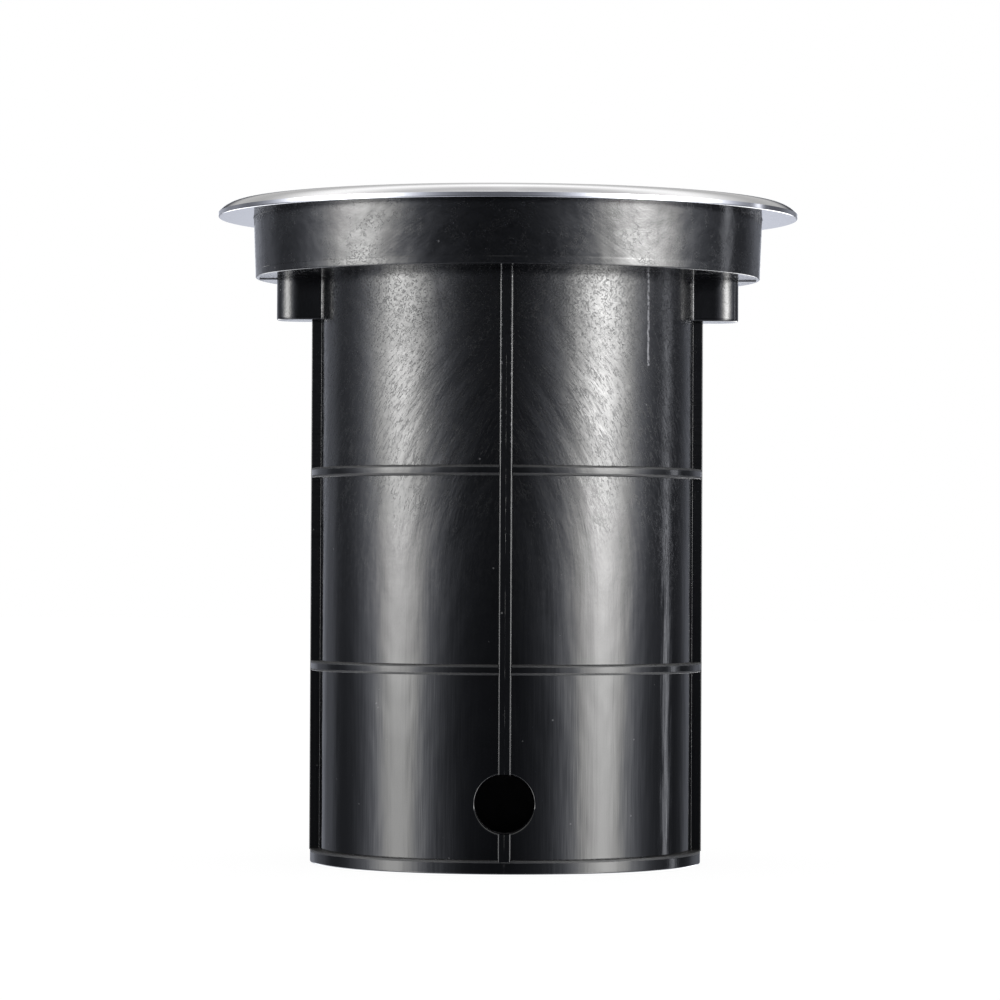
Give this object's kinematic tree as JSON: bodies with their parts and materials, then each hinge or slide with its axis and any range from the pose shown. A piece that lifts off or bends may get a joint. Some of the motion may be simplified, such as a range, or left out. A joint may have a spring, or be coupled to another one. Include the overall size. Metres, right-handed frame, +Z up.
{
  "type": "in ground well light",
  "caption": "Recessed ground uplight: black plastic mounting sleeve with a collar, ribs and a side cable hole, a sealed lamp unit with a tilting lamp, and a stainless trim with glass.",
  "frame": {"origin": "centre of the underside of the sleeve's base", "axes": "+Z up, out of the ground, through the glass; -Y through the cable hole; the two trim screws stand on the X axis"},
  "size_m": [0.11, 0.11, 0.125],
  "materials": {
    "sleeve_plastic": "injection moulded, glossy, with fine flow marks",
    "insert_brass": "knurled, pressed in",
    "trim_steel": "stainless, satin with a polished rim",
    "screw_steel": "stainless, plain",
    "cover_glass": "toughened, clear, ground edge",
    "gasket_silicone": "silicone, matt",
    "housing_paint": "die-cast, powder coated, fine texture",
    "gimbal_steel": "stamped stainless, satin",
    "washer_nylon": "natural nylon",
    "terminal_nylon": "moulded nylon",
    "contact_brass": "turned",
    "gland_nylon": "moulded nylon",
    "gland_rubber": "synthetic rubber, matt",
    "ring_paint": "steel, black finish",
    "clip_steel": "bright spring wire",
    "lamp_aluminium": "die-cast, silver grey",
    "lens_acrylic": "clear moulded acrylic",
    "board_white": "white solder mask",
    "led_phosphor": "yellow phosphor under clear silicone",
    "board_green": "glass fibre board",
    "base_plastic": "moulded",
    "pin_plating": "nickel plated",
    "holder_ceramic": "unglazed steatite"
  },
  "bodies": {
    "sleeve": {"mounting_sleeve": "sleeve_plastic", "thread_inserts": "insert_brass"},
    "lamp_unit": {"lamp_housing": "housing_paint", "gimbal_frame": "gimbal_steel", "frame_screws": "screw_steel", "pivot_pins": "screw_steel", "friction_washers": "washer_nylon", "terminal_block": "terminal_nylon", "terminal_clamps": "contact_brass", "terminal_screws": "screw_steel", "terminal_fixing_screw": "screw_steel", "gland_body": "gland_nylon", "gland_washer": "gland_rubber", "gland_locknut": "gland_nylon", "gland_seal": "gland_rubber", "gland_nut": "gland_nylon"},
    "cover": {"trim_ring": "trim_steel", "trim_screws": "screw_steel", "cover_glass": "cover_glass", "glass_gasket": "gasket_silicone"},
    "lamp_carrier": {"lamp_ring": "ring_paint", "lamp_clip": "clip_steel", "lamp_heatsink": "lamp_aluminium", "lamp_lens": "lens_acrylic", "led_board": "board_white", "led_chips": "led_phosphor", "driver_board": "board_green", "lamp_base": "base_plastic", "lamp_pins": "pin_plating", "holder_contacts": "contact_brass", "lamp_holder": "holder_ceramic"}
  },
  "joints": [
    {"name": "lamp_unit_lift", "type": "slide", "parent": "sleeve", "child": "lamp_unit", "axis": [0, 0, 1], "range_m": [0, 0.125]},
    {"name": "cover_lift", "type": "slide", "parent": "lamp_unit", "child": "cover", "axis": [0, 0, 1], "range_m": [0, 0.04]},
    {"name": "lamp_tilt", "type": "hinge", "parent": "lamp_unit", "child": "lamp_carrier", "pos_m": [0, 0, 0.09902], "axis": [0, 1, 0], "range_deg": [-15, 15]}
  ]
}
